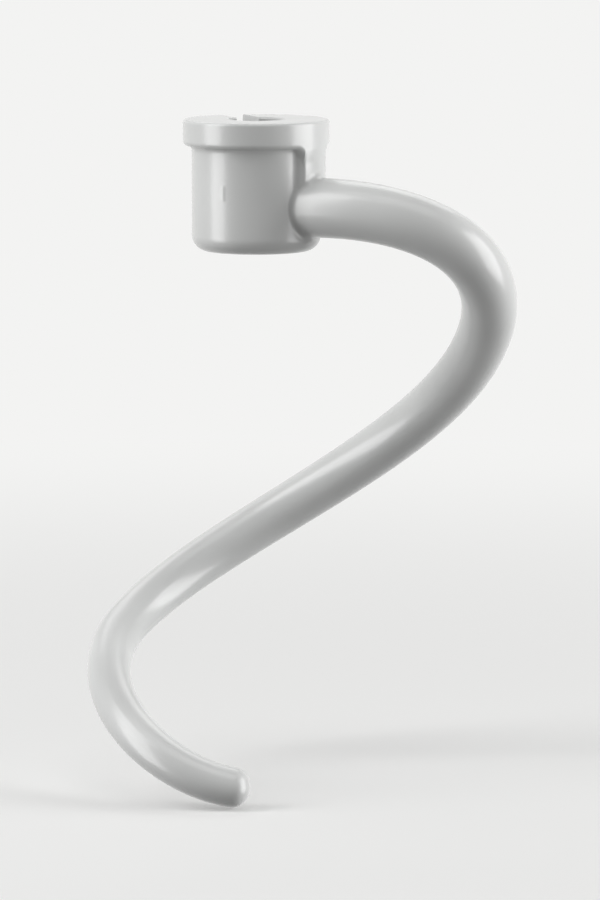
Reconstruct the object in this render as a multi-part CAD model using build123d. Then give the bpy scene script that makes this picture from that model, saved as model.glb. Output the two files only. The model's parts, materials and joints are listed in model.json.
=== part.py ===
from build123d import *
import math
import os

# Dough hook for a household stand mixer: one aluminium casting, hung from the machine's drive shaft.
# Millimetres. +Z points up along the shaft, and the origin is on the bore's axis in the collar's top face.
# Azimuths are in degrees: 0 is the front (-Y), 90 the right (+X), 180 the back and 270 the left.
# Depths are measured down from the collar's top face.

# Hub, and the collar round its top
HUB_DIAMETER = 30.8
HUB_HEIGHT = 31.4
HUB_BOTTOM_RADIUS = 3.9
COLLAR_OVERHANG = 2.1
COLLAR_HEIGHT = 5.9
COLLAR_TOP_RADIUS = 0.7
COLLAR_CORNER_RADIUS = 0.3
COLLAR_FLAT = 0.1

# Pad that thickens the hub's wall between the collar and the arm
PAD_RISE = 1.1
PAD_WIDTH = 9.0
PAD_DRAFT = 28.0
PAD_EDGE_RADIUS = 0.8
PAD_CORNER_RADIUS = 2.0

# Drive shaft that the hub slides on, and the blind bore for it
SHAFT_DIAMETER = 12.7
SHAFT_CLEARANCE = 0.2
BORE_FLOOR = 5.4
BORE_MOUTH_CHAMFER = 0.4

# Cross pin of that shaft, and the bayonet slot that takes it through the hub's rear wall
PIN_DIAMETER = 4.8
PIN_CLEARANCE = 0.4
PIN_DEPTH = 14.5
SLOT_AZIMUTH = 200.0
LOCK_TURN = 55.0
DETENT_RISE = 1.6

# Arm: round in section, thinning evenly from the hub to the tip
ARM_AZIMUTH = 60.0
ARM_ABOVE_BOTTOM = 10.9
ARM_ROOT_DIAMETER = 14.5
ARM_ROOT_RUN = 4.0
ARM_ROOT_FILLET = 1.8
ARM_TIP_DIAMETER = 9.7
TIP_DOME_HEIGHT = 2.9

# Shoulder: how far the arm holds its direction as it leaves the hub and as it enters the spiral
SHOULDER_LEAD_OUT = 29.5
SHOULDER_LEAD_IN = 35.0

# Spiral: azimuth, radius, drop below the root and pitch (drop in a full turn) at its start, left and tip
TOP_AZIMUTH = 95.0
TOP_RADIUS = 54.5
TOP_DROP = 32.5
TOP_PITCH = 258.0
LEFT_AZIMUTH = 235.0
LEFT_RADIUS = 38.9
LEFT_DROP = 104.6
LEFT_PITCH = 101.0
TIP_AZIMUTH = 348.0
TIP_RADIUS = 27.4
TIP_DROP = 136.1
TIP_PITCH = 30.0
SPIRAL_POINTS = 22

# Small raised bar that the mould leaves on the hub's front
MARK_AZIMUTH = -31.0
MARK_DEPTH = 16.8
MARK_WIDTH = 1.5
MARK_HEIGHT = 4.0
MARK_RISE = 0.25

# Worked out from the sizes above
HUB_R = HUB_DIAMETER / 2
COLLAR_R = HUB_R + COLLAR_OVERHANG
COLLAR_BOTTOM_R = COLLAR_OVERHANG - COLLAR_CORNER_RADIUS - COLLAR_FLAT
PAD_R = HUB_R + PAD_RISE
BORE_R = SHAFT_DIAMETER / 2 + SHAFT_CLEARANCE
BORE_DEPTH = HUB_HEIGHT - BORE_FLOOR
SLOT_WIDTH = PIN_DIAMETER + 2 * PIN_CLEARANCE
ARM_DEPTH = HUB_HEIGHT - ARM_ABOVE_BOTTOM
UP = Vector(0, 0, 1)


def outward(azimuth):
    """Horizontal unit vector that points away from the bore's axis at an azimuth."""
    angle = math.radians(azimuth)
    return Vector(math.sin(angle), -math.cos(angle), 0)


def place(azimuth, radius, depth):
    """Point at an azimuth, a distance from the bore's axis and a depth."""
    return outward(azimuth) * radius - UP * depth


def distance(corner):
    """How far a corner of a flat outline lies from the bore's axis."""
    return math.hypot(corner.X, corner.Y)


def facing(azimuth, depth):
    """Plane on the bore's axis whose local Z points outwards at an azimuth and whose local Y points up."""
    return Plane(origin=-UP * depth, x_dir=outward(azimuth).cross(-UP), z_dir=outward(azimuth))


def ease(start, end, start_slope, end_slope, t):
    """Cubic from start to end, for t from 0 to 1, with given slopes at its ends."""
    blend = 3 * t**2 - 2 * t**3
    return (
        start * (1 - blend)
        + end * blend
        + start_slope * (t - 2 * t**2 + t**3)
        + end_slope * (t**3 - t**2)
    )


def spiral_radius(azimuth):
    """Parabola through the radii at the spiral's start, left and tip."""
    known = ((TOP_AZIMUTH, TOP_RADIUS), (LEFT_AZIMUTH, LEFT_RADIUS), (TIP_AZIMUTH, TIP_RADIUS))
    total = 0
    for here, radius in known:
        for other, _ in known:
            if other != here:
                radius *= (azimuth - other) / (here - other)
        total += radius
    return total


def spiral_drop(azimuth):
    """Drop below the arm's root: fast behind the hub, and flattening towards the tip."""
    if azimuth < LEFT_AZIMUTH:
        turn = LEFT_AZIMUTH - TOP_AZIMUTH
        ends = (TOP_DROP, LEFT_DROP, TOP_PITCH * turn / 360, LEFT_PITCH * turn / 360)
        return ease(*ends, (azimuth - TOP_AZIMUTH) / turn)
    turn = TIP_AZIMUTH - LEFT_AZIMUTH
    ends = (LEFT_DROP, TIP_DROP, LEFT_PITCH * turn / 360, TIP_PITCH * turn / 360)
    return ease(*ends, (azimuth - LEFT_AZIMUTH) / turn)


def spiral_point(i):
    """One of the evenly turned points that the spiral is drawn through."""
    azimuth = TOP_AZIMUTH + (TIP_AZIMUTH - TOP_AZIMUTH) * i / (SPIRAL_POINTS - 1)
    return place(azimuth, spiral_radius(azimuth), ARM_DEPTH + spiral_drop(azimuth))


def arm_path():
    """Centre line of the arm: straight out of the hub, a curved shoulder, then the shrinking spiral."""
    spiral = Spline([spiral_point(i) for i in range(SPIRAL_POINTS)])
    root_end = place(ARM_AZIMUTH, HUB_R + ARM_ROOT_RUN, ARM_DEPTH)
    shoulder = Bezier(
        root_end,
        root_end + outward(ARM_AZIMUTH) * SHOULDER_LEAD_OUT,
        spiral @ 0 - (spiral % 0) * SHOULDER_LEAD_IN,
        spiral @ 0,
    )
    return Wire([Line(-UP * ARM_DEPTH, root_end), shoulder, spiral])


def make_dome(base_radius, height):
    """Shallow round cap that stands on the XY plane."""
    outline = make_face(
        [
            Line((0, 0), (base_radius, 0)),
            TangentArc((0, height), (base_radius, 0), tangent=(1, 0)),
            Line((0, height), (0, 0)),
        ]
    )
    return revolve(Plane.XZ * outline, Axis.Z)


def make_arm():
    """Tapered arm swept along its centre line from a round root to a round tip, which ends in a dome."""
    path = arm_path()
    root, tip = (Plane(origin=path @ t, x_dir=(path % t).cross(UP), z_dir=path % t) for t in (0, 1))
    ends = [root * Circle(ARM_ROOT_DIAMETER / 2), tip * Circle(ARM_TIP_DIAMETER / 2)]
    rod = sweep(ends, path=path, multisection=True)
    return rod + tip * make_dome(ARM_TIP_DIAMETER / 2, TIP_DOME_HEIGHT)


def make_hub():
    """Turned shape of the hub and its collar, still without the bore."""
    profile = FilletPolyline(
        (0, 0),
        (COLLAR_R, 0),
        (COLLAR_R, -COLLAR_HEIGHT),
        (HUB_R, -COLLAR_HEIGHT),
        (HUB_R, -HUB_HEIGHT),
        (0, -HUB_HEIGHT),
        radius=[0, COLLAR_TOP_RADIUS, COLLAR_BOTTOM_R, COLLAR_CORNER_RADIUS, HUB_BOTTOM_RADIUS, 0],
        close=True,
    )
    return revolve(Plane.XZ * make_face(profile), Axis.Z)


def make_pad():
    """Hub's section with a thicker patch towards the arm, drawn from the collar down to the arm."""
    foot = PAD_WIDTH + 2 * PAD_R * math.tan(math.radians(PAD_DRAFT))
    wedge = Trapezoid(foot, PAD_R, 90 - PAD_DRAFT, align=(Align.CENTER, Align.MIN))
    patch = Rot(0, 0, 180) * wedge & Circle(PAD_R)
    outline = Circle(HUB_R) + patch
    edges = [corner for corner in outline.vertices() if distance(corner) > HUB_R + PAD_RISE / 2]
    outline = fillet(edges, PAD_EDGE_RADIUS)
    near = [corner for corner in outline.vertices() if corner.Y < 0]
    corners = [corner for corner in near if distance(corner) < HUB_R + PAD_RISE / 4]
    outline = fillet(corners, PAD_CORNER_RADIUS)
    return extrude(Pos(0, 0, -ARM_DEPTH) * Rot(0, 0, ARM_AZIMUTH) * outline, ARM_DEPTH - COLLAR_HEIGHT / 2)


def make_bore():
    """Blind hole for the shaft, with a chamfered mouth."""
    top = (Align.CENTER, Align.CENTER, Align.MAX)
    mouth = Cone(BORE_R, BORE_R + BORE_MOUTH_CHAMFER, BORE_MOUTH_CHAMFER, align=top)
    return Cylinder(BORE_R, BORE_DEPTH, align=top) + mouth


def make_slot():
    """Bayonet cut: down from the top, round as the hub is turned, and up into the pin's seat."""
    half = SLOT_WIDTH / 2
    reach = COLLAR_R + half
    seat_azimuth = SLOT_AZIMUTH - LOCK_TURN
    upright = Circle(half) + Rectangle(SLOT_WIDTH, PIN_DEPTH + half, align=(Align.CENTER, Align.MIN))
    entry = extrude(facing(SLOT_AZIMUTH, PIN_DEPTH) * upright, reach)
    band = Plane.XZ * Pos(reach / 2, -PIN_DEPTH) * Rectangle(reach, SLOT_WIDTH)
    turn = Rot(0, 0, seat_azimuth - 90) * revolve(band, Axis.Z, LOCK_TURN)
    notch = SlotCenterToCenter(DETENT_RISE, SLOT_WIDTH, rotation=90)
    seat = extrude(facing(seat_azimuth, PIN_DEPTH - DETENT_RISE / 2) * notch, reach)
    return entry + turn + seat


def make_mark():
    """Small raised bar on the hub's front."""
    outline = SlotOverall(MARK_HEIGHT, MARK_WIDTH, rotation=90)
    return extrude(facing(MARK_AZIMUTH, MARK_DEPTH) * outline, HUB_R + MARK_RISE)


def make_hook():
    """The whole casting: hub and arm blended at the root, then bored and slotted for the shaft."""
    hub = make_hub() + make_pad()
    arm = make_arm()
    body = hub + arm
    body = fillet(new_edges(hub, arm, combined=body), ARM_ROOT_FILLET)
    return body + make_mark() - make_bore() - make_slot()


os.makedirs("parts", exist_ok=True)
hook = make_hook()
export_step(hook, "parts/dough_hook.step")
print("volume", round(hook.volume), "mm3, solids", len(hook.solids()), ", valid", hook.is_valid)
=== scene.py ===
"""Looks of a stand mixer's dough hook: a collared hub and a spiral arm, cast in one and coated grey."""

import json
import math

import bmesh
import bpy
import numpy as np
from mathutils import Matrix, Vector


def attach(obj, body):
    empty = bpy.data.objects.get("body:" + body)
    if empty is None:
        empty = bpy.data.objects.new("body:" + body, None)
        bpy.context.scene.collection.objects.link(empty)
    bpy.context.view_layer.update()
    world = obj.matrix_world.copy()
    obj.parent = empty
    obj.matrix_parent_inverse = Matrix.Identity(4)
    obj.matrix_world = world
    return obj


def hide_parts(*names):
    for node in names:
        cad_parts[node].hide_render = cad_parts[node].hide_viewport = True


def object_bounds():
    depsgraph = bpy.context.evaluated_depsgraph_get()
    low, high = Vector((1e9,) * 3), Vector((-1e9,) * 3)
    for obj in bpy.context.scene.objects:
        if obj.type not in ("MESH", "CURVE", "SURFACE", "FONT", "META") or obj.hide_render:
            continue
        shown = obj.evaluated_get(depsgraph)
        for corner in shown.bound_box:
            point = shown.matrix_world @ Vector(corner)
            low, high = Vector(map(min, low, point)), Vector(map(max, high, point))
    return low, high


bl_info = {
    "name": "Dough Hook",
    "version": (1, 0, 0),
    "blender": (4, 5, 0),
    "location": "3D View > Sidebar > Dough Hook",
    "description": "Builds a coated dough hook for a stand mixer, and a plain studio round it",
    "category": "Add Mesh",
}

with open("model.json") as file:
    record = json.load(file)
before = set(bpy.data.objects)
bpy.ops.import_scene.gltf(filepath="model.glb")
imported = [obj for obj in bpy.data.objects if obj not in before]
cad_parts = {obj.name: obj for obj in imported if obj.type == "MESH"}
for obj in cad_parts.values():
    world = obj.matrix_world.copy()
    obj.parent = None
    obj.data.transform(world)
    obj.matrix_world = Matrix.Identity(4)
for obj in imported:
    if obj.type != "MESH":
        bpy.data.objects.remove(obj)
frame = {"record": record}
CAD_LOW, CAD_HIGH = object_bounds()

# Metres, in the frame of the CAD model: +Z up along the shaft, the origin in the collar's top face.
# Azimuths: 0 is the front (-Y), 90 degrees the right (+X), 180 the back and 270 the left.
# Depths are measured down from the collar's top face.
MM = 0.001
NODE = "dough_hook"
MOUNTS = {mount["name"]: mount for mount in frame["record"]["mounts"]}
BORE = MOUNTS["shaft_bore"]["dims"]
BORE_DEPTH_MM = 26.0
PIN_SEAT = MOUNTS["pin_seat"]
UP = np.array((0.0, 0.0, 1.0))
QUARTER_TURN = math.pi / 2
HALF_TURN = math.pi
WHOLE_TURN = 2 * math.pi

# How finely the meshes are divided. With this number of even columns none lies along an edge of the slot.
HUB_COLUMNS = 239
WALL_ROWS = 60
PAD_SIDE_DEGREES = np.arange(10, 32, 0.4)
MARK_COLUMNS = 25
MARK_ROWS = 41
ARM_SIDES = 96
SHOULDER_POINTS = 110
SPIRAL_POINTS = 300
FLOOR_SIDES = 96
WELD_DISTANCE = 0.001 * MM

# The middle of a flat disc is a fan this wide, as a share of the disc
DISC_FAN = 0.05

# How far the mould mark's soft edge reaches, in half widths, and its fine rows, in heights
MARK_SPREAD = 1.3
MARK_REACH = 0.7

# Edges that turn by more than this stay sharp
HUB_CREASE = math.radians(25)
ARM_CREASE = math.radians(18)

# Size and height of the coating's orange peel and of the casting's waves
PEEL_SIZE = 1.4 * MM
PEEL_HEIGHT = 0.008 * MM
WAVE_SIZE = 14 * MM
WAVE_HEIGHT = 0.05 * MM

# Floor: radii of its rings, its thickness, the gap under the hook, where the shadow starts to fade and
# has gone, and the share of plain paper colour where it hasn't
FLOOR_RADII = np.array((8.0, 3.0, 1.0, 0.3))
FLOOR_THICKNESS = 0.02
FLOOR_GAP = 0.5 * MM
SHADOW_NEAR = 0.1
SHADOW_FAR = 0.7
PLAIN_SHARE = 0.3

# Camera: in front of the hook and a little above it, with a long lens
CAMERA_PLACE = (0.0, -1.368, 0.0929)
CAMERA_LENS_MM = 230
CAMERA_REACH = 50

# Soft boxes round the hook: two tall ones at its sides, a faint one above it and one behind it.
# Degrees, metres and watts.
SOFT_BOXES = {
    "left_soft_box": dict(azimuth=-72, elevation=18, distance=1.1, width=0.6, height=1.8, watts=16),
    "right_soft_box": dict(azimuth=79, elevation=6.5, distance=1.1, width=0.8, height=1.3, watts=16),
    "top_soft_box": dict(azimuth=-13, elevation=72, distance=1.1, width=1.0, height=0.6, watts=2.6),
    "back_soft_box": dict(azimuth=180, elevation=48, distance=1.2, width=1.2, height=0.5, watts=3),
}


def length(name, description, millimetres):
    """Property for a length, given in millimetres and kept in metres."""
    return bpy.props.FloatProperty(
        name=name, description=description, default=millimetres * MM, min=0.0, precision=5, unit="LENGTH"
    )


def angle(name, description, degrees):
    """Property for an angle, given in degrees."""
    return bpy.props.FloatProperty(
        name=name, description=description, default=math.radians(degrees), subtype="ANGLE"
    )


def linear(hex_colour):
    """Linear red, green and blue of an sRGB hex colour."""
    srgb = np.array([int(hex_colour[i : i + 2], 16) for i in (1, 3, 5)]) / 255
    return tuple(np.where(srgb <= 0.04045, srgb / 12.92, ((srgb + 0.055) / 1.055) ** 2.4).tolist())


def colour(name, description, hex_colour):
    """Property for a colour, given as sRGB hex and kept linear."""
    return bpy.props.FloatVectorProperty(
        name=name,
        description=description,
        default=linear(hex_colour),
        size=3,
        min=0.0,
        max=1.0,
        subtype="COLOR",
    )


class HubSizes(bpy.types.PropertyGroup):
    """Sizes of the hub, its collar, pad, bore, slot and mould mark."""

    radius: length("Hub radius", "From the bore's axis to the hub's wall", 15.4)
    height: length("Hub height", "From the collar's top face to the hub's bottom", 31.4)
    bottom_round: length("Bottom round", "Radius of the hub's lower edge", 3.9)
    collar_overhang: length("Collar overhang", "How far the collar stands out from the hub", 2.1)
    collar_height: length("Collar height", "From the collar's top face to its underside", 6.3)
    collar_top_round: length("Collar top round", "Radius of the collar's upper edge", 0.7)
    collar_corner: length("Collar corner", "Width of the hollow corner under the collar", 0.7)
    corner_height: length("Corner height", "Height of that hollow corner", 1.4)
    collar_flat: length("Collar flat", "Width of the underside's flat strip", 0.1)
    collar_sweep: length("Collar sweep", "Size of the curve from the underside down the pad's side", 3.0)
    sweep_angle: angle("Sweep angle", "Where that curve turns upright, from the middle of the pad", 18.5)
    pad_rise: length("Pad rise", "How far the pad towards the arm stands out from the wall", 1.6)
    pad_width: length("Pad width", "Width of the pad's face", 9.0)
    pad_draft: angle("Pad draft", "How far the pad's sides lean out", 32.0)
    pad_edge: length("Pad edge", "Radius of the pad's outer edges", 0.8)
    pad_corner: length("Pad corner", "Radius of the corners beside the pad", 2.4)
    bore_radius: length("Bore radius", "Radius of the blind hole for the shaft", BORE["r_mm"])
    bore_depth: length("Bore depth", "Depth of the blind hole for the shaft", BORE_DEPTH_MM)
    bore_chamfer: length("Bore chamfer", "Bevel at the bore's mouth", BORE_DEPTH_MM - BORE["length_mm"])
    slot_width: length("Slot width", "Width of the slot for the shaft's cross pin", 5.6)
    slot_depth: length("Slot depth", "Depth of the pin as the hub is turned", 14.5)
    slot_azimuth: angle("Slot azimuth", "Where the pin enters", 200.0)
    slot_turn: angle("Slot turn", "How far the hub is turned to lock", 55.0)
    mark_azimuth: angle("Mark azimuth", "Where the raised mould mark is", -31.0)
    mark_depth: length("Mark depth", "Depth of the mould mark's middle", 16.8)
    mark_width: length("Mark width", "Width of the mould mark", 1.5)
    mark_height: length("Mark height", "Height of the mould mark", 4.0)
    mark_rise: length("Mark rise", "How far the mould mark stands out", 0.07)


class ArmSizes(bpy.types.PropertyGroup):
    """Sizes of the arm: its root, shoulder, spiral and tip."""

    azimuth: angle("Arm azimuth", "Where the arm leaves the hub", 60.0)
    depth: length("Arm depth", "Depth of the arm's axis where it leaves the hub", 20.5)
    root_radius: length("Root radius", "Radius of the arm at the bore's axis", 7.25)
    root_run: length("Root run", "Straight length outside the hub's wall", 4.0)
    root_fillet: length("Root fillet", "Radius of the blend round the arm's root", 1.8)
    tip_radius: length("Tip radius", "Radius of the arm at its tip", 4.85)
    dome_height: length("Dome height", "Height of the cap on the tip", 4.1)
    lead_out: length("Lead out", "How far the shoulder holds the root's direction", 29.5)
    lead_in: length("Lead in", "How far the shoulder holds the spiral's direction", 35.0)
    top_azimuth: angle("Top azimuth", "Where the spiral starts", 95.0)
    top_radius: length("Top radius", "Radius of the spiral at its start", 54.5)
    top_drop: length("Top drop", "Drop below the root at the spiral's start", 32.5)
    top_pitch: length("Top pitch", "Drop in a full turn at the spiral's start", 258.0)
    left_azimuth: angle("Left azimuth", "Where the spiral passes the left", 235.0)
    left_radius: length("Left radius", "Radius of the spiral at the left", 38.9)
    left_drop: length("Left drop", "Drop below the root at the left", 104.6)
    left_pitch: length("Left pitch", "Drop in a full turn at the left", 101.0)
    tip_azimuth: angle("Tip azimuth", "Where the spiral ends", 348.0)
    tip_reach: length("Tip reach", "Radius of the spiral at the tip", 27.4)
    tip_drop: length("Tip drop", "Drop below the root at the tip", 136.1)
    tip_pitch: length("Tip pitch", "Drop in a full turn at the tip", 30.0)


class Finish(bpy.types.PropertyGroup):
    """Colours of the hook and the studio."""

    coating: colour("Coating", "Satin coating of the hook", "#CBCCCB")
    floor: colour("Floor", "Paper that the studio's floor and backdrop are made of", "#F3F3F2")


def outward(azimuth):
    """Level unit vector at an azimuth: x is the sine of the azimuth, y is minus its cosine."""
    azimuth = np.asarray(azimuth, dtype=float)
    return np.stack([np.sin(azimuth), -np.cos(azimuth), np.zeros_like(azimuth)], axis=-1)


def unit(vectors):
    """Vectors divided by their lengths."""
    return vectors / np.linalg.norm(vectors, axis=-1, keepdims=True)


def smooth_step(t):
    """Cubic that rises from 0 to 1 with level ends: three t squared minus two t cubed."""
    return 3 * t**2 - 2 * t**3


def closed_tube(name, rings):
    """Closed skin over rings of points: quads join each ring to the next, and fans close both ends.

    rings has one row for each ring. A fan's middle is the mean of its ring.
    """
    rows, columns = rings.shape[:2]
    index = np.arange(rows * columns).reshape(rows, columns)
    beside = np.roll(index, -1, axis=1)
    quads = np.stack([index[:-1], beside[:-1], beside[1:], index[1:]], axis=-1).reshape(-1, 4)
    start, end = rows * columns, rows * columns + 1
    first = np.stack([np.full(columns, start), beside[0], index[0]], axis=-1)
    last = np.stack([np.full(columns, end), index[-1], beside[-1]], axis=-1)
    points = np.concatenate([rings.reshape(-1, 3), rings[:1].mean(axis=1), rings[-1:].mean(axis=1)])
    mesh = bpy.data.meshes.new(name)
    mesh.from_pydata(points.tolist(), [], quads.tolist() + first.tolist() + last.tolist())
    skin = bmesh.new()
    skin.from_mesh(mesh)
    bmesh.ops.recalc_face_normals(skin, faces=skin.faces)
    skin.to_mesh(mesh)
    skin.free()
    piece = bpy.data.objects.new(name, mesh)
    bpy.context.scene.collection.objects.link(piece)
    return piece


def finish_piece(piece, material, crease):
    """Smooth shading with edges sharper than the crease kept sharp, the coating, and the piece's place."""
    piece.data.shade_smooth()
    piece.data.set_sharp_from_angle(angle=crease)
    piece.data.materials.clear()
    piece.data.materials.append(material)
    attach(piece, "root")
    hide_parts(NODE)


def arc(centre, radius, start, end, count):
    """Points on a flat circle's arc between two angles."""
    turn = np.linspace(start, end, count)
    return centre + radius * np.stack([np.cos(turn), np.sin(turn)], axis=-1)


def pad_outline(hub):
    """Half of the hub's plan, from the pad's middle to the far side, and the angles of its normals.

    x points towards the arm. The pad's face is an arc of radius hub plus rise. A convex arc turns it into a
    straight side that leans out by the draft, and a concave arc turns that into the hub's own circle. Each
    arc's centre is where the circles or lines moved by its radius meet.
    """
    face_radius = hub.radius + hub.pad_rise
    lean = QUARTER_TURN - hub.pad_draft
    normal = np.array((math.cos(lean), math.sin(lean)))
    along = np.array((math.sin(lean), -math.cos(lean)))
    offset = normal @ (face_radius, hub.pad_width / 2)

    def centre(distance, shift):
        """Point at a distance from the axis, moved off the side by a shift."""
        height = offset + shift
        return normal * height + along * math.sqrt(distance**2 - height**2)

    edge = centre(face_radius - hub.pad_edge, -hub.pad_edge)
    corner = centre(hub.radius + hub.pad_corner, hub.pad_corner)
    edge_start = math.atan2(edge[1], edge[0])
    corner_end = math.atan2(corner[1], corner[0])
    runs = [
        (np.zeros(2), face_radius, 0, edge_start, 20),
        (edge, hub.pad_edge, edge_start, lean, 16),
        (corner, -hub.pad_corner, lean, corner_end, 24),
        (np.zeros(2), hub.radius, corner_end, HALF_TURN, 160),
    ]
    points = [arc(*run) for run in runs]
    normals = [np.linspace(start, end, count) for _, _, start, end, count in runs]
    return np.concatenate(points), np.concatenate(normals)


def with_finer(even, fine, apart):
    """Even steps with finer ones put in: an even step closer than apart to a fine one is left out."""
    gap = np.abs(even[:, None] - fine).min(axis=1)
    return np.sort(np.concatenate([even[gap > apart], fine]))


def hub_columns(hub, arm):
    """Azimuths of the hub's columns: evenly all round, closer beside the pad and over the mould mark."""
    even = np.linspace(0, WHOLE_TURN, HUB_COLUMNS, endpoint=False)
    side = np.radians(PAD_SIDE_DEGREES)
    mark = hub.mark_azimuth + np.linspace(-1, 1, MARK_COLUMNS) * hub.mark_width / hub.radius
    fine = np.concatenate([arm.azimuth + side, arm.azimuth - side, mark]) % WHOLE_TURN
    return with_finer(even, fine, side[1] - side[0])


def signed_turn(azimuth, middle):
    """How far azimuths lie from a middle one, from minus to plus half a turn."""
    return np.mod(azimuth - middle + HALF_TURN, WHOLE_TURN) - HALF_TURN


def mark_height(hub, azimuth, z):
    """Rise of the mould mark: a bar with round ends whose edge falls off by a smooth step."""
    core = (hub.mark_height - hub.mark_width) / 2
    across = hub.radius * signed_turn(azimuth, hub.mark_azimuth)
    along = np.maximum(np.abs(z + hub.mark_depth) - core, 0)
    reach = MARK_SPREAD * hub.mark_width / 2
    return hub.mark_rise * smooth_step(np.clip(1 - np.hypot(across, along) / reach, 0, 1))


def collar_underside(hub, offset, wall):
    """Radius and height of the profile under the collar, from its rim to the wall, at every column.

    offset is a column's turn from the pad's middle, and wall its radius below the collar. Away from the pad
    the profile is a convex quarter circle, a flat strip and a hollow quarter of an ellipse. On the pad's face
    it is a smooth S from the rim to the face. In front of the pad it sweeps down by a quarter circle, its
    start half as far as its end, and the sweep fades across the pad.
    """
    collar = hub.radius + hub.collar_overhang
    lower_round = hub.collar_overhang - hub.collar_corner - hub.collar_flat
    start = lower_round - hub.collar_height
    height = lower_round + hub.corner_height
    edge = arc((collar - lower_round, start), lower_round, 0, -QUARTER_TURN, 11)
    hollow = arc((1, -1), 1, QUARTER_TURN, HALF_TURN, 9)
    corner = (hub.radius, -hub.collar_height) + hollow * (hub.collar_corner, hub.corner_height)
    plain = np.concatenate([edge, corner])[:, None, :]
    inward = (collar - plain[..., 0]) / hub.collar_overhang
    drop = (start - plain[..., 1]) / height

    to_plain = np.clip((np.abs(offset) - hub.sweep_angle) * collar / hub.collar_sweep, 0, 1)
    plain_share = smooth_step(to_plain)
    t = np.linspace(0, 1, len(plain))[:, None]
    inward = inward * plain_share + smooth_step(t) * (1 - plain_share)
    drop = drop * plain_share + t * (1 - plain_share)

    front_share = np.clip(0.5 - offset / (2 * hub.sweep_angle), 0, 1)
    half_sweep = hub.collar_sweep / 2 * (1 - np.sqrt(1 - (1 - to_plain) ** 2)) * front_share
    radius = collar - (collar - wall) * inward
    return np.stack([radius, start - half_sweep - (height + half_sweep) * drop], axis=-1)


def hub_rings(hub, arm):
    """Rings of the hub, from the bore's floor over the collar and down the wall to the bottom.

    Radius and height are functions of azimuth and of the place along the profile. Towards the arm the wall
    follows the pad's outline, down to the arm's axis.
    """
    azimuth = hub_columns(hub, arm)
    offset = signed_turn(azimuth, arm.azimuth)
    outline, _ = pad_outline(hub)
    outline_turn = np.arctan2(outline[:, 1], outline[:, 0])
    wall = np.interp(np.abs(offset), outline_turn, np.hypot(outline[:, 0], outline[:, 1]))
    collar_top = hub.radius + hub.collar_overhang - hub.collar_top_round
    bottom = hub.radius - hub.bottom_round
    bottom_start = hub.bottom_round - hub.height

    floor = np.linspace((hub.bore_radius * DISC_FAN, -hub.bore_depth), (hub.bore_radius, -hub.bore_depth), 8)
    bore = np.linspace((hub.bore_radius, -hub.bore_depth), (hub.bore_radius, -hub.bore_chamfer), 12)
    top = np.linspace((hub.bore_radius + hub.bore_chamfer, 0), (collar_top, 0), 10)
    upper = arc((collar_top, -hub.collar_top_round), hub.collar_top_round, QUARTER_TURN, 0, 9)
    under = collar_underside(hub, offset, wall)
    rim = np.linspace(upper[-1], under[0], 8)[1:-1]

    wall_start = under[-1, :, 1]
    wall_height = wall_start.max() - bottom_start
    mark_middle = (wall_start.max() + hub.mark_depth) / wall_height
    mark_share = mark_middle + np.linspace(-1, 1, MARK_ROWS) * MARK_REACH * hub.mark_height / wall_height
    share = with_finer(np.linspace(0, 1, WALL_ROWS)[1:-1], mark_share, mark_share[1] - mark_share[0])
    z = wall_start + (bottom_start - wall_start) * share[:, None]
    radius = np.where(z > -arm.depth, wall, hub.radius) + mark_height(hub, azimuth, z)
    side = np.stack([radius, z], axis=-1)
    lower = arc((bottom, bottom_start), hub.bottom_round, 0, -QUARTER_TURN, 19)
    base = np.linspace((bottom, -hub.height), (bottom * DISC_FAN, -hub.height), 8)

    def turned(*runs):
        """The same runs of the profile at every azimuth."""
        points = np.concatenate(runs)[:, None, :]
        return np.broadcast_to(points, (len(points), len(azimuth), 2))

    profile = np.concatenate(
        [turned(floor, bore[1:], top, upper[1:]), rim, under, side, turned(lower, base[1:])]
    )
    return profile[..., :1] * outward(azimuth) + profile[..., 1:] * UP


def slot_bar(name, ring, shift):
    """Closed bar: a flat ring of points and the same ring moved by a shift."""
    return closed_tube(name, np.stack([ring, ring + shift]))


def slot_bars(hub):
    """Bars that cut the pin's slot: an upright one, a wedge for the turn and a short upright one at the seat.

    An upright bar's ring has a half circle at each end. The first one's upper end stands clear of the top
    face. The wedge reaches a little further out than the bars, so that their outer ends don't coincide.
    """
    half = hub.slot_width / 2
    reach = hub.radius + hub.collar_overhang + half
    wedge_reach = 1.05 * reach
    seat_azimuth = hub.slot_azimuth - hub.slot_turn
    seat_depth = -PIN_SEAT["pos_m"][2]

    def upright(name, azimuth, lower, upper):
        """Bar with round ends between two depths, from the axis outwards."""
        below = arc((0, -lower), half, HALF_TURN, WHOLE_TURN, 24)
        above = arc((0, -upper), half, 0, HALF_TURN, 24)
        ring = np.concatenate([below, above])
        across = np.cross(outward(azimuth), UP)
        return slot_bar(name, ring[:, :1] * across + ring[:, 1:] * UP, outward(azimuth) * reach)

    turn = outward(np.linspace(seat_azimuth, hub.slot_azimuth, 34)) * wedge_reach
    wedge = np.concatenate([np.zeros((1, 3)), turn]) - UP * (hub.slot_depth + half)
    return [
        upright("slot_entry", hub.slot_azimuth, hub.slot_depth, -hub.slot_width),
        slot_bar("slot_turn", wedge, UP * hub.slot_width),
        upright("slot_seat", seat_azimuth, hub.slot_depth, seat_depth),
    ]


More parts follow.
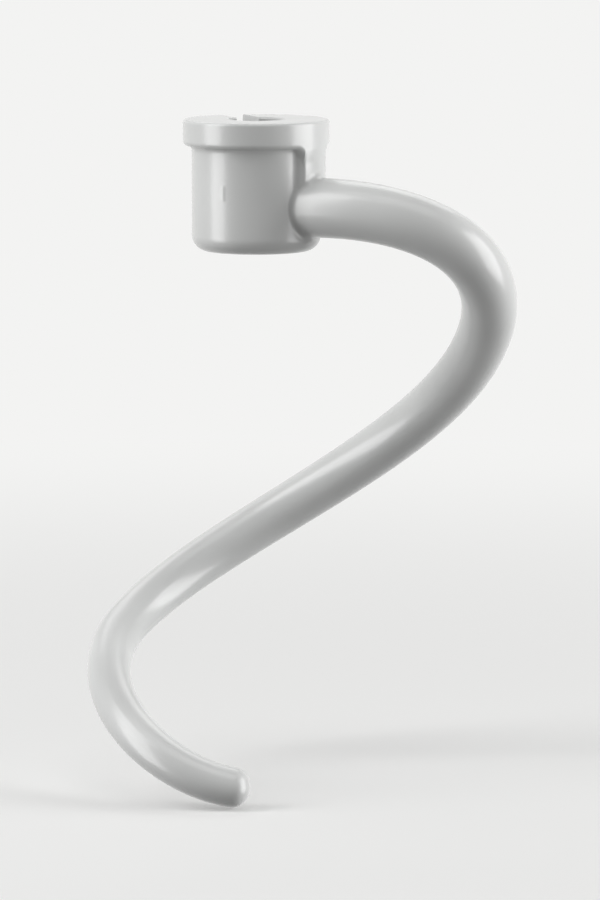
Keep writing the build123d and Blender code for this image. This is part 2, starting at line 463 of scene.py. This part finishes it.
def cut(piece, bars):
    """Takes the bars out of a piece, welds the cut's edges, splits many-sided faces and deletes the bars."""
    for bar in bars:
        modifier = piece.modifiers.new(bar.name, "BOOLEAN")
        modifier.operation = "DIFFERENCE"
        modifier.solver = "EXACT"
        modifier.object = bar
    weld = piece.modifiers.new("weld", "WELD")
    weld.merge_threshold = WELD_DISTANCE
    split = piece.modifiers.new("split", "TRIANGULATE")
    split.min_vertices = 5
    split.ngon_method = "BEAUTY"
    graph = bpy.context.evaluated_depsgraph_get()
    mesh = bpy.data.meshes.new_from_object(piece.evaluated_get(graph))
    piece.modifiers.clear()
    piece.data = mesh
    for bar in bars:
        bpy.data.objects.remove(bar)


def ease(start, end, start_slope, end_slope, t):
    """Cubic from start to end, for t from 0 to 1, with given slopes at its ends."""
    blend = smooth_step(t)
    slopes = start_slope * (t - 2 * t**2 + t**3) + end_slope * (t**3 - t**2)
    return start * (1 - blend) + end * blend + slopes


def spiral(arm, azimuth):
    """Centre line of the spiral at some azimuths.

    Its radius is the parabola through the radii at start, left and tip. Its drop is one cubic from start to
    left and one from left to tip, with the pitches as slopes.
    """
    known = (
        (arm.top_azimuth, arm.top_radius),
        (arm.left_azimuth, arm.left_radius),
        (arm.tip_azimuth, arm.tip_reach),
    )
    radius = np.zeros_like(azimuth)
    for here, value in known:
        others = [other for other, _ in known if other != here]
        radius = radius + value * np.prod([(azimuth - other) / (here - other) for other in others], axis=0)

    first = arm.left_azimuth - arm.top_azimuth
    second = arm.tip_azimuth - arm.left_azimuth
    first_slopes = arm.top_pitch * first / WHOLE_TURN, arm.left_pitch * first / WHOLE_TURN
    second_slopes = arm.left_pitch * second / WHOLE_TURN, arm.tip_pitch * second / WHOLE_TURN
    drop = np.where(
        azimuth < arm.left_azimuth,
        ease(arm.top_drop, arm.left_drop, *first_slopes, (azimuth - arm.top_azimuth) / first),
        ease(arm.left_drop, arm.tip_drop, *second_slopes, (azimuth - arm.left_azimuth) / second),
    )
    return outward(azimuth) * radius[:, None] - UP * (arm.depth + drop)[:, None]


def centre_line(hub, arm):
    """Points of the arm's centre line from the end of its straight root: a shoulder, then the spiral.

    The shoulder is a cubic Bezier curve. Its inner control points hold the directions of root and spiral.
    """
    turn = spiral(arm, np.linspace(arm.top_azimuth, arm.tip_azimuth, SPIRAL_POINTS))
    start = outward(arm.azimuth) * (hub.radius + arm.root_run) - UP * arm.depth
    leaving = start + outward(arm.azimuth) * arm.lead_out
    entering = turn[0] - unit(turn[1] - turn[0]) * arm.lead_in
    t = np.linspace(0, 1, SHOULDER_POINTS)[:-1, None]
    weights = (1 - t) ** 3, 3 * t * (1 - t) ** 2, 3 * t**2 * (1 - t), t**3
    controls = start, leaving, entering, turn[0]
    shoulder = sum(weight * control for weight, control in zip(weights, controls))
    return np.concatenate([shoulder, turn])


def root_rings(hub, arm, radius, around):
    """Rings of the blend round the arm's root: a ball of the fillet's radius rolls in the corner.

    The ball's centre is the fillet's radius away from both the arm and the hub. Above the arm's axis the hub
    is the pad's outline, so the centre lies on that outline moved out. Below it is the hub's wall and its
    lower round, a torus, so the centre lies on a torus thickened by the fillet. Each ring's points swing from
    the ball's touch on the hub to its touch on the arm. The first ring is moved into the hub.
    """
    fillet = arm.root_fillet
    ahead, across = outward(arm.azimuth), np.cross(outward(arm.azimuth), UP)
    lateral, rise = (radius + fillet) * np.cos(around), (radius + fillet) * np.sin(around)

    outline, normal = pad_outline(hub)
    moved = outline + fillet * np.stack([np.cos(normal), np.sin(normal)], axis=-1)
    front = moved[:, 0] > 0
    pad_reach = np.interp(np.abs(lateral), moved[front, 1], moved[front, 0])
    pad_normal = np.interp(np.abs(lateral), moved[front, 1], normal[front])

    level = hub.bottom_round - hub.height
    below = np.minimum(rise - arm.depth - level, 0)
    core = hub.radius - hub.bottom_round
    thick = hub.bottom_round + fillet
    ring_reach = np.sqrt(thick**2 - below**2)
    wall_reach = np.sqrt((core + ring_reach) ** 2 - lateral**2)
    wall_normal = np.arctan2(np.abs(lateral), wall_reach)

    above = rise > 0
    reach = np.where(above, pad_reach, wall_reach)
    heading = np.where(above, pad_normal, wall_normal)
    tilt = np.where(above, 0, below / thick)
    level_share = np.sqrt(1 - tilt**2)

    def place(x, y, z):
        """Vectors from parts ahead along the arm, across it and up."""
        return x[:, None] * ahead + y[:, None] * across + z[:, None] * UP

    centre = place(reach, lateral, rise - arm.depth)
    aside = np.sign(lateral) * np.sin(heading) * level_share
    to_hub = -place(np.cos(heading) * level_share, aside, tilt)
    to_arm = -place(np.zeros_like(around), np.cos(around), np.sin(around))
    opening = np.arccos(np.sum(to_hub * to_arm, axis=-1))[:, None]
    share = np.linspace(0, 1, 13)[:, None, None]
    swing = (np.sin((1 - share) * opening) * to_hub + np.sin(share * opening) * to_arm) / np.sin(opening)
    blend = centre + fillet * swing
    return np.concatenate([blend[:1] - ahead * fillet, blend])


def arm_rings(hub, arm):
    """Rings of the arm: the root's blend, circles that thin evenly along the centre line, and the dome.

    A circle lies across the centre line, on a level axis and one square to it. The dome is half an ellipsoid
    that is as wide as the tip and as high as the dome.
    """
    line = centre_line(hub, arm)
    steps = np.linalg.norm(np.diff(line, axis=0), axis=-1)
    run = hub.radius + arm.root_run + np.concatenate([[0], np.cumsum(steps)])
    radius = arm.root_radius + (arm.tip_radius - arm.root_radius) * run / run[-1]
    heading = unit(np.gradient(line, run, axis=0))
    heading[0] = outward(arm.azimuth)
    side = unit(np.cross(heading, UP))[:, None, :]
    top = np.cross(side, heading[:, None, :])
    around = np.linspace(0, WHOLE_TURN, ARM_SIDES, endpoint=False)
    circle = np.cos(around)[:, None] * side + np.sin(around)[:, None] * top
    rod = line[:, None, :] + radius[:, None, None] * circle
    root = root_rings(hub, arm, radius[0], around)
    neck = np.linspace(root[-1], rod[0], 5)[1:-1]
    rise = np.linspace(0, QUARTER_TURN, 20)[1:-1, None, None]
    height = arm.dome_height * np.sin(rise) * heading[-1]
    dome = line[-1] + height + arm.tip_radius * np.cos(rise) * circle[-1]
    return np.concatenate([root, neck, rod, dome])


def add_node(tree, kind, links=None, **settings):
    """Adds a node. settings set its attributes and, by name, its inputs. links joins inputs to outputs."""
    node = tree.nodes.new(kind)
    for name, value in settings.items():
        label = name.replace("_", " ").title()
        if label in node.inputs:
            node.inputs[label].default_value = value
        else:
            setattr(node, name, value)
    for name, output in (links or {}).items():
        tree.links.new(output, node.inputs[name])
    return node


def satin_coating(tone):
    """Silver-grey epoxy coating, sprayed on cast aluminium and baked.

    The coat levels itself into a satin skin with a faint orange peel, over a casting that waves a little.
    """
    material = bpy.data.materials.get("satin_epoxy_coating")
    if material:
        return material
    material = bpy.data.materials.new("satin_epoxy_coating")
    material.use_nodes = True
    tree = material.node_tree
    shader = tree.nodes["Principled BSDF"]
    place = add_node(tree, "ShaderNodeTexCoord").outputs["Object"]
    peel = add_node(
        tree, "ShaderNodeTexNoise", {"Vector": place}, scale=1 / PEEL_SIZE, detail=2.0, roughness=0.5
    ).outputs["Fac"]
    wave = add_node(
        tree, "ShaderNodeTexNoise", {"Vector": place}, scale=1 / WAVE_SIZE, detail=1.0, roughness=0.4
    ).outputs["Fac"]

    # Thicker and thinner coat over the waves: a slightly lighter or darker grey
    shade = add_node(
        tree, "ShaderNodeMapRange", {"Value": wave}, from_min=0.3, from_max=0.7, to_min=0.96, to_max=1.03
    )
    tint = add_node(tree, "ShaderNodeVectorMath", {"Scale": shade.outputs["Result"]}, operation="SCALE")
    tint.inputs[0].default_value = tone

    # Satin that is a little duller in some grains of the peel than in others
    gloss = add_node(
        tree, "ShaderNodeMapRange", {"Value": peel}, from_min=0.3, from_max=0.7, to_min=0.45, to_max=0.55
    )
    casting = add_node(tree, "ShaderNodeBump", {"Height": wave}, strength=1.0, distance=WAVE_HEIGHT)
    skin = add_node(
        tree,
        "ShaderNodeBump",
        {"Height": peel, "Normal": casting.outputs["Normal"]},
        strength=1.0,
        distance=PEEL_HEIGHT,
    )
    tree.links.new(tint.outputs["Vector"], shader.inputs["Base Color"])
    tree.links.new(gloss.outputs["Result"], shader.inputs["Roughness"])
    tree.links.new(skin.outputs["Normal"], shader.inputs["Normal"])
    tree.links.new(skin.outputs["Normal"], shader.inputs["Coat Normal"])
    shader.inputs["Specular IOR Level"].default_value = 0.3
    shader.inputs["Coat Weight"].default_value = 1.0
    shader.inputs["Coat Roughness"].default_value = 0.24
    shader.inputs["Coat IOR"].default_value = 1.5
    return material


def seen_share(tree):
    """Output that is one for rays from the camera, a reflection or a clear pane, and else zero."""
    path = add_node(tree, "ShaderNodeLightPath").outputs
    seen = path["Is Camera Ray"]
    for ray in ("Is Glossy Ray", "Is Transmission Ray"):
        seen = add_node(tree, "ShaderNodeMath", {0: seen, 1: path[ray]}, operation="MAXIMUM").outputs[0]
    return seen


def studio_paper(tone):
    """Matt studio paper that keeps the hook's shadow near it and runs out into an even backdrop."""
    material = bpy.data.materials.new("matt_studio_paper")
    material.use_nodes = True
    tree = material.node_tree
    tree.nodes.clear()
    place = add_node(tree, "ShaderNodeTexCoord").outputs["Object"]
    away = add_node(tree, "ShaderNodeVectorMath", {0: place}, operation="LENGTH").outputs["Value"]
    fade = add_node(
        tree,
        "ShaderNodeMapRange",
        {"Value": away},
        interpolation_type="SMOOTHSTEP",
        from_min=SHADOW_NEAR,
        from_max=SHADOW_FAR,
        to_min=PLAIN_SHARE,
    ).outputs["Result"]
    lit = add_node(tree, "ShaderNodeBsdfDiffuse", color=(*tone, 1.0)).outputs[0]
    plain = add_node(tree, "ShaderNodeEmission", color=(*tone, 1.0)).outputs[0]
    mix = add_node(tree, "ShaderNodeMixShader", {0: fade, 1: lit, 2: plain}).outputs[0]
    add_node(tree, "ShaderNodeOutputMaterial", {"Surface": mix})
    return material


def soft_box(name, target, azimuth, elevation, distance, width, height, watts):
    """Area lamp at an azimuth and elevation, in degrees, round a target that it faces."""
    lamp = bpy.data.lights.new(name, "AREA")
    lamp.shape = "RECTANGLE"
    lamp.size = width
    lamp.size_y = height
    lamp.energy = watts
    box = bpy.data.objects.new(name, lamp)
    tilt = math.radians(elevation)
    ray = Vector(outward(math.radians(azimuth)) * math.cos(tilt) + UP * math.sin(tilt))
    box.location = target + ray * distance
    box.rotation_euler = ray.to_track_quat("Z", "Y").to_euler()
    box.visible_camera = False
    bpy.context.scene.collection.objects.link(box)


class DOUGHHOOK_OT_hub(bpy.types.Operator):
    """Adds the hub with its collar, pad, mould mark, bore and pin slot"""

    bl_idname = "doughhook.hub"
    bl_label = "Add Hub"

    def execute(self, context):
        hub, arm = context.scene.hook_hub, context.scene.hook_arm
        piece = closed_tube("hub", hub_rings(hub, arm))
        cut(piece, slot_bars(hub))
        if not piece.data.polygons:
            raise RuntimeError("the slot took the whole hub away")
        finish_piece(piece, satin_coating(context.scene.hook_finish.coating), HUB_CREASE)
        return {"FINISHED"}


class DOUGHHOOK_OT_arm(bpy.types.Operator):
    """Adds the spiral arm with its blended root and domed tip"""

    bl_idname = "doughhook.arm"
    bl_label = "Add Arm"

    def execute(self, context):
        hub, arm = context.scene.hook_hub, context.scene.hook_arm
        piece = closed_tube("arm", arm_rings(hub, arm))
        finish_piece(piece, satin_coating(context.scene.hook_finish.coating), ARM_CREASE)
        return {"FINISHED"}


class DOUGHHOOK_OT_stage(bpy.types.Operator):
    """Adds the floor, the soft boxes, the backdrop and the camera"""

    bl_idname = "doughhook.stage"
    bl_label = "Add Stage"

    def execute(self, context):
        scene = context.scene
        scene.view_settings.view_transform = "Standard"
        paper = scene.hook_finish.floor
        middle = (CAD_LOW + CAD_HIGH) / 2

        circle = outward(np.linspace(0, WHOLE_TURN, FLOOR_SIDES, endpoint=False))
        rings = circle * FLOOR_RADII[:, None, None]
        rings = np.concatenate([rings[:1] - UP * FLOOR_THICKNESS, rings])
        floor = closed_tube("floor", rings + UP * (CAD_LOW.z - FLOOR_GAP))
        floor.data.materials.append(studio_paper(paper))
        floor.visible_shadow = False
        floor.visible_diffuse = False
        floor.visible_glossy = False

        for name, settings in SOFT_BOXES.items():
            soft_box(name, middle, **settings)

        # The backdrop is seen, and lights nothing
        world = bpy.data.worlds.new("studio")
        scene.world = world
        world.use_nodes = True
        tree = world.node_tree
        tree.nodes.clear()
        seen = seen_share(tree)
        backdrop = add_node(tree, "ShaderNodeBackground", {"Strength": seen}, color=(*paper, 1.0))
        add_node(tree, "ShaderNodeOutputWorld", {"Surface": backdrop.outputs[0]})

        lens = bpy.data.cameras.new("camera")
        lens.lens = CAMERA_LENS_MM
        lens.clip_end = CAMERA_REACH
        camera = bpy.data.objects.new("camera", lens)
        camera.location = CAMERA_PLACE
        camera.rotation_euler = (camera.location - middle).to_track_quat("Z", "Y").to_euler()
        scene.collection.objects.link(camera)
        scene.camera = camera
        return {"FINISHED"}


class DOUGHHOOK_PT_panel(bpy.types.Panel):
    """Buttons and sizes of the dough hook"""

    bl_idname = "DOUGHHOOK_PT_panel"
    bl_label = "Dough Hook"
    bl_space_type = "VIEW_3D"
    bl_region_type = "UI"
    bl_category = "Dough Hook"

    def draw(self, context):
        for operator in OPERATORS:
            self.layout.operator(operator.bl_idname)
        for group in (context.scene.hook_hub, context.scene.hook_arm, context.scene.hook_finish):
            box = self.layout.box()
            for name in group.__annotations__:
                box.prop(group, name)


OPERATORS = (DOUGHHOOK_OT_hub, DOUGHHOOK_OT_arm, DOUGHHOOK_OT_stage)
CLASSES = (HubSizes, ArmSizes, Finish, *OPERATORS, DOUGHHOOK_PT_panel)


def register():
    """Registers the classes and hangs their sizes on the scene."""
    for each in CLASSES:
        bpy.utils.register_class(each)
    bpy.types.Scene.hook_hub = bpy.props.PointerProperty(type=HubSizes)
    bpy.types.Scene.hook_arm = bpy.props.PointerProperty(type=ArmSizes)
    bpy.types.Scene.hook_finish = bpy.props.PointerProperty(type=Finish)


def unregister():
    """Takes the sizes off the scene and the classes out of Blender."""
    del bpy.types.Scene.hook_finish
    del bpy.types.Scene.hook_arm
    del bpy.types.Scene.hook_hub
    for each in reversed(CLASSES):
        bpy.utils.unregister_class(each)


def main():
    """Builds the hook and its stage."""
    register()
    bpy.ops.doughhook.hub()
    bpy.ops.doughhook.arm()
    bpy.ops.doughhook.stage()


if __name__ == "__main__":
    main()
